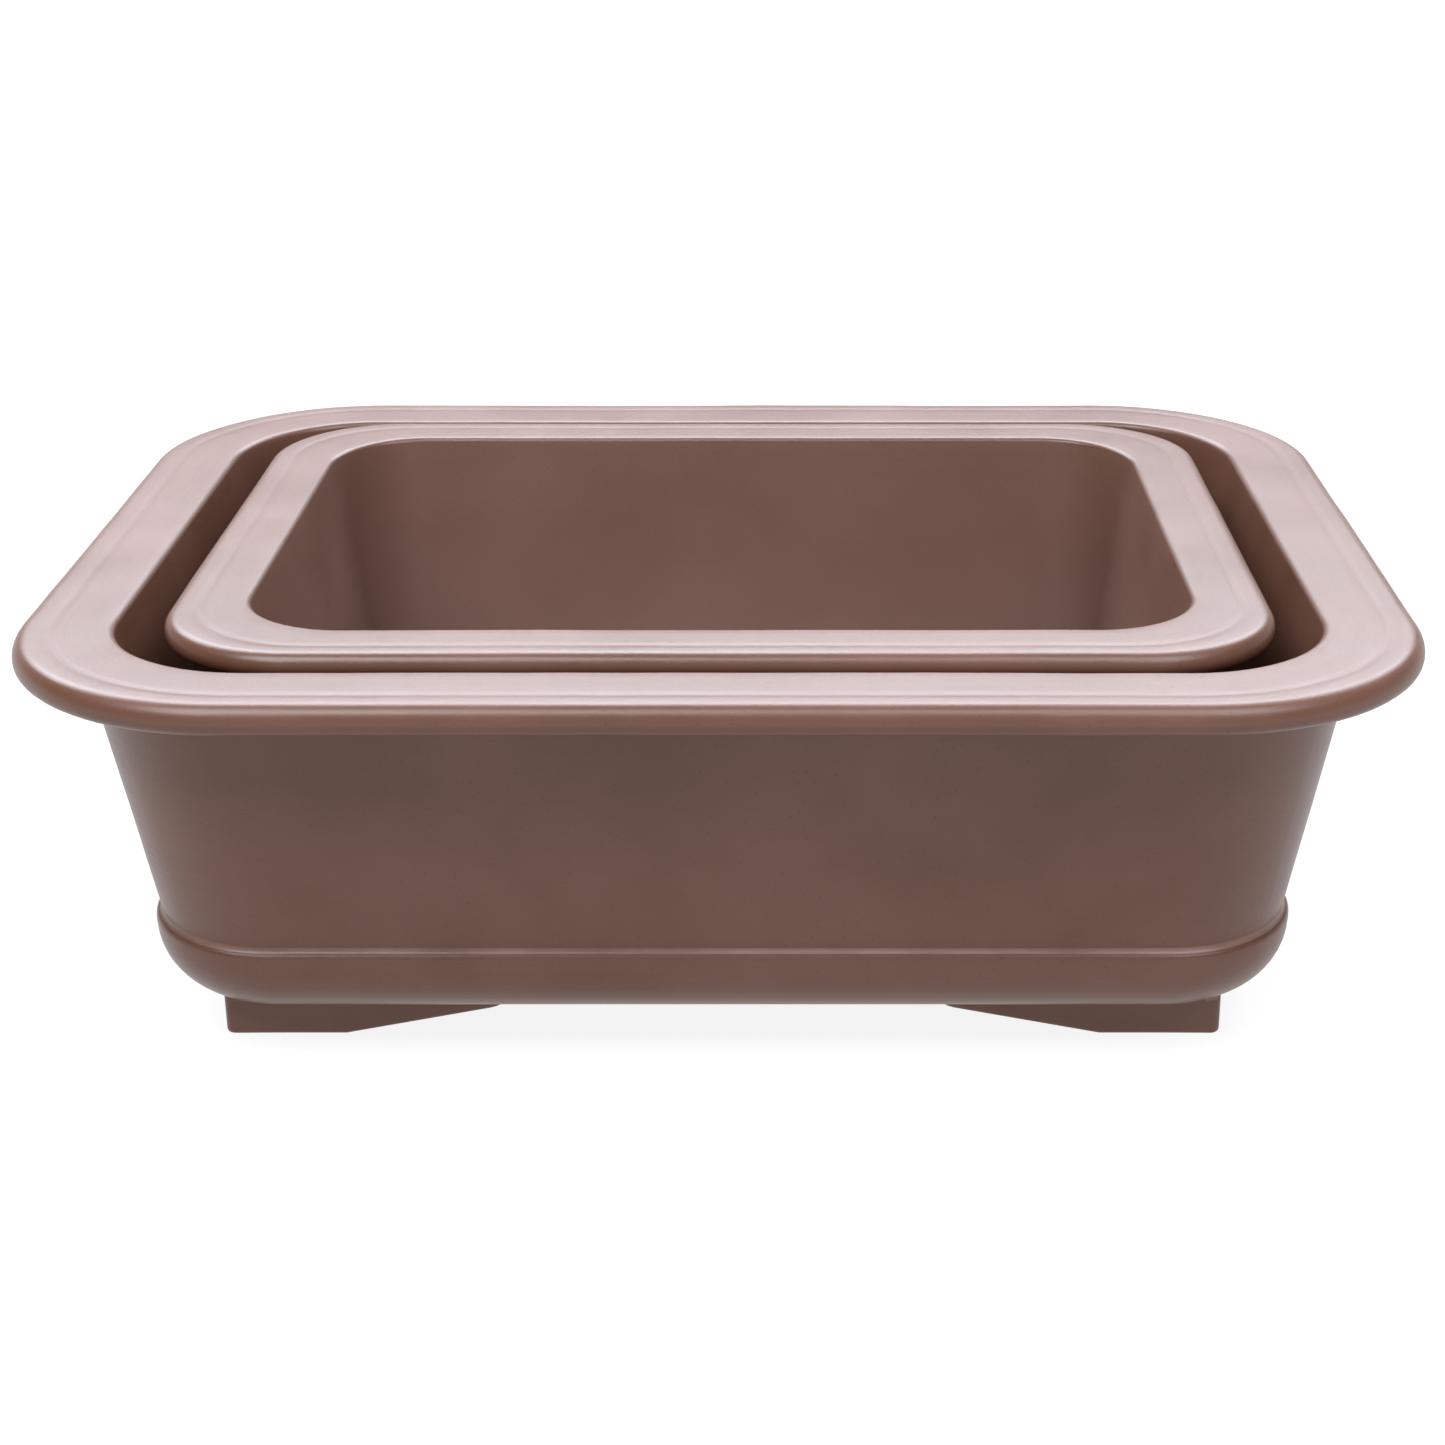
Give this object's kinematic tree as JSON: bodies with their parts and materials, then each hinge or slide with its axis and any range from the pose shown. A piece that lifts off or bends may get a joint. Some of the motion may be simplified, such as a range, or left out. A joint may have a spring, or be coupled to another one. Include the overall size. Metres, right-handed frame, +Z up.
{
  "type": "nested bonsai pot",
  "caption": "Rectangular brown clay bonsai pot with a wide lip, a belt line and bracket feet, holding a smaller matching pot that lifts out.",
  "frame": {"origin": "on the ground, under the middle of the outer pot", "axes": "+X along the pots' long sides to the right, -Y towards the front, +Z up out of the pots' open tops"},
  "size_m": [0.324, 0.25, 0.1026],
  "materials": {
    "clay": "unglazed fired clay, satin, warm purplish brown",
    "screen_plastic": "moulded black plastic mesh",
    "clip_wire": "soft copper-coloured anodised wire"
  },
  "bodies": {
    "outer": {"outer_pot": "clay", "outer_screen_left": "screen_plastic", "outer_screen_right": "screen_plastic", "outer_clip_left": "clip_wire", "outer_clip_right": "clip_wire"},
    "inner": {"inner_pot": "clay", "inner_screen_left": "screen_plastic", "inner_screen_right": "screen_plastic", "inner_clip_left": "clip_wire", "inner_clip_right": "clip_wire"}
  },
  "joints": [
    {"name": "inner_pot_lift", "type": "slide", "parent": "outer", "child": "inner", "axis": [0, 0, 1], "range_m": [0, 0.12]}
  ]
}
